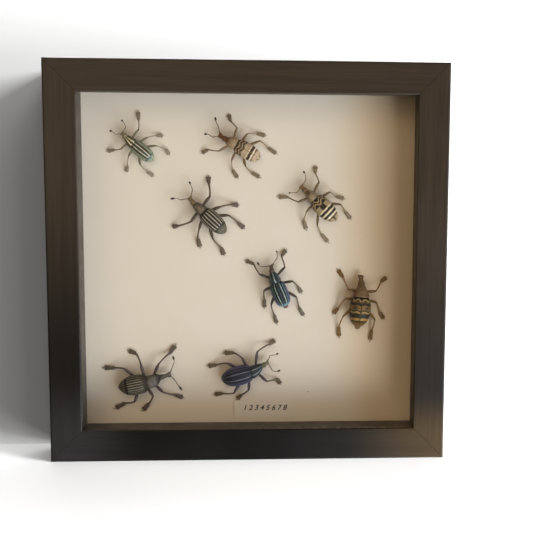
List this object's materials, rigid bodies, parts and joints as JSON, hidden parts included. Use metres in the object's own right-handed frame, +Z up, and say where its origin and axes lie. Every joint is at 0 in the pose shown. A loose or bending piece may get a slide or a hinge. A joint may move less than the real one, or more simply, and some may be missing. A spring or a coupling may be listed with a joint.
{
  "type": "framed insect display case",
  "caption": "Square, deep wooden display frame with a glass front, a cream board and dried long-legged weevils fixed behind the glass, above a small paper label.",
  "frame": {"origin": "middle of the underside of the frame, half way between its front and its back", "axes": "+Z up, the glazed front faces -Y, +X to the right of someone who looks at the glass"},
  "size_m": [0.23, 0.04, 0.23],
  "materials": {
    "moulding": "satin dark brown stain",
    "glass": "clear, polished",
    "liner": "satin dark brown",
    "board": "matt cream paper",
    "label": "matt paper",
    "panel": "plain fibreboard",
    "tab_steel": "dull grey",
    "hanger": "brass plated",
    "weevil_green": "dark green scales with pale stripes",
    "weevil_rusty": "grey and brown bands, rusty head",
    "weevil_grey": "grey-brown with pale ribs",
    "weevil_white": "black and white bands",
    "weevil_blue": "dark blue with pale blue stripes",
    "weevil_yellow": "black and yellow bands",
    "weevil_brown": "brown with pale green ribs",
    "weevil_navy": "navy with violet stripes"
  },
  "bodies": {
    "root": {"frame_rail_top": "moulding", "frame_rail_bottom": "moulding", "frame_rail_left": "moulding", "frame_rail_right": "moulding", "glass_pane": "glass", "liner_top": "liner", "liner_bottom": "liner", "liner_left": "liner", "liner_right": "liner", "backing_board": "board", "specimen_label": "label", "back_panel": "panel", "retaining_tab_1": "tab_steel", "retaining_tab_2": "tab_steel", "retaining_tab_3": "tab_steel", "retaining_tab_4": "tab_steel", "retaining_tab_5": "tab_steel", "retaining_tab_6": "tab_steel", "retaining_tab_7": "tab_steel", "retaining_tab_8": "tab_steel", "hanger_plate": "hanger", "hanger_nail_1": "hanger", "hanger_nail_2": "hanger", "weevil_green_striped": "weevil_green", "weevil_rusty_headed": "weevil_rusty", "weevil_grey_ribbed": "weevil_grey", "weevil_white_banded": "weevil_white", "weevil_blue_striped": "weevil_blue", "weevil_yellow_banded": "weevil_yellow", "weevil_brown_ribbed": "weevil_brown", "weevil_navy_striped": "weevil_navy"}
  },
  "joints": []
}
